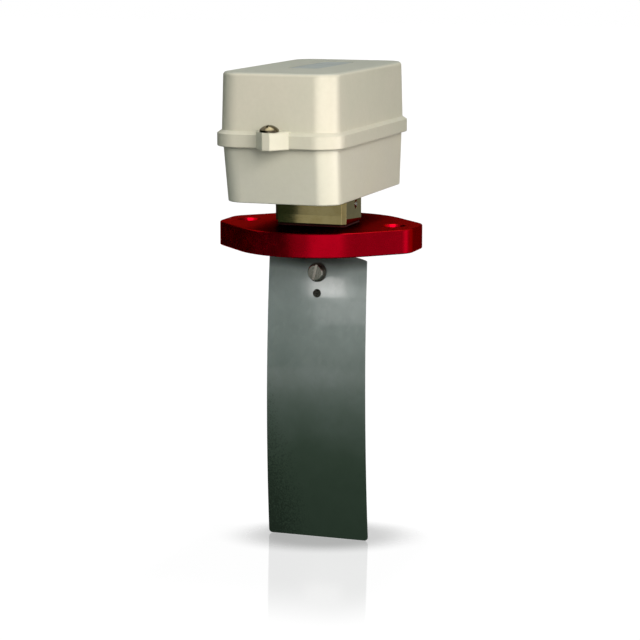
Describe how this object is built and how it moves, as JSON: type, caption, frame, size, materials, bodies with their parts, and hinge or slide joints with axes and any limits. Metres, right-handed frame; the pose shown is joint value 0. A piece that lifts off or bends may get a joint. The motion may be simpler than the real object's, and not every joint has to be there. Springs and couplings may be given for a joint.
{
  "type": "air flow switch",
  "caption": "Duct-mounted air flow switch: bowed paddle under a red lozenge flange works a microswitch in a beige housing.",
  "frame": {"origin": "centre of the flange's duct face, between its two bolt holes", "axes": "+X along the line of the bolt holes and the paddle's width, +Y along the air flow and the housing's length, +Z from the duct up to the housing"},
  "size_m": [0.1078, 0.1533, 0.2552],
  "materials": {
    "red_anodised": "red anodised, semi-gloss",
    "black_rubber": "matt",
    "nickel_plate": "nickel plated brass, polished",
    "steel_bright": "zinc plated",
    "steel_dark": "plain steel, darkened",
    "brass_plain": "turned",
    "paddle_steel": "bright rolled sheet",
    "beige_paint": "light beige-grey paint over die casting",
    "black_screw": "black, glossy",
    "sheet_steel": "zinc plated sheet",
    "black_plastic": "moulded",
    "red_plastic": "moulded",
    "blade_brass": "stamped",
    "spring_steel": "spring wire",
    "grey_plastic": "moulded",
    "lead_insulation": "flexible insulation",
    "gland_plastic": "moulded, dark grey"
  },
  "bodies": {
    "housing": {"mounting_flange": "red_anodised", "flange_gasket": "black_rubber", "pivot_body": "nickel_plate", "pivot_axle": "steel_bright", "flange_screws": "steel_bright", "neck_gasket": "black_rubber", "neck_screws": "steel_bright", "housing_base": "beige_paint", "switch_bracket": "sheet_steel", "bracket_screws": "steel_bright", "microswitch": "black_plastic", "switch_terminals": "blade_brass", "switch_screws": "steel_bright", "switch_nuts": "steel_bright", "terminal_block": "grey_plastic", "terminal_clamps": "blade_brass", "terminal_screws": "steel_bright", "block_screws": "steel_bright", "switch_leads": "lead_insulation", "earth_screw": "steel_bright", "earth_washer": "blade_brass", "gland_body": "gland_plastic", "gland_nut": "gland_plastic", "gland_seal": "black_rubber", "gland_locknut": "gland_plastic"},
    "pendulum": {"pendulum_arm": "brass_plain", "paddle": "paddle_steel", "paddle_screw": "steel_bright", "paddle_washer": "steel_dark", "paddle_pin": "steel_dark", "switch_lever": "sheet_steel", "lever_screws": "steel_bright"},
    "plunger": {"switch_plunger": "red_plastic"},
    "spring_holder": {"range_bolt": "steel_bright", "range_spring": "spring_steel"},
    "setting_nut": {"adjusting_nut": "brass_plain"},
    "cover": {"housing_cover": "beige_paint", "cover_screws": "black_screw", "cover_gasket": "black_rubber"}
  },
  "joints": [
    {"name": "paddle_swing", "type": "hinge", "parent": "housing", "child": "pendulum", "pos_m": [0, 0, 0.0233], "axis": [1, 0, 0], "range_deg": [0, 6], "stiffness_Nm_per_rad": 0.6, "springref_deg": -2.86, "deforming": ["range_spring"]},
    {"name": "plunger_slide", "type": "slide", "parent": "housing", "child": "plunger", "axis": [0, 0, 1], "range_m": [0, 0.0023]},
    {"name": "spring_holder_slide", "type": "slide", "parent": "housing", "child": "spring_holder", "axis": [0, 0, 1], "range_m": [-0.0008, 0.0015]},
    {"name": "setting_nut_turn", "type": "hinge", "parent": "housing", "child": "setting_nut", "pos_m": [0, -0.0283, 0.078], "axis": [0, 0, 1], "range_deg": [-360, 720]},
    {"name": "cover_lift", "type": "slide", "parent": "housing", "child": "cover", "axis": [0, 0, 1], "range_m": [0, 0.06]}
  ],
  "couplings": [
    {"joint": "plunger_slide", "follows": "paddle_swing", "m_per_rad": 0.021},
    {"joint": "spring_holder_slide", "follows": "setting_nut_turn", "m_per_rad": 0.00011141}
  ]
}
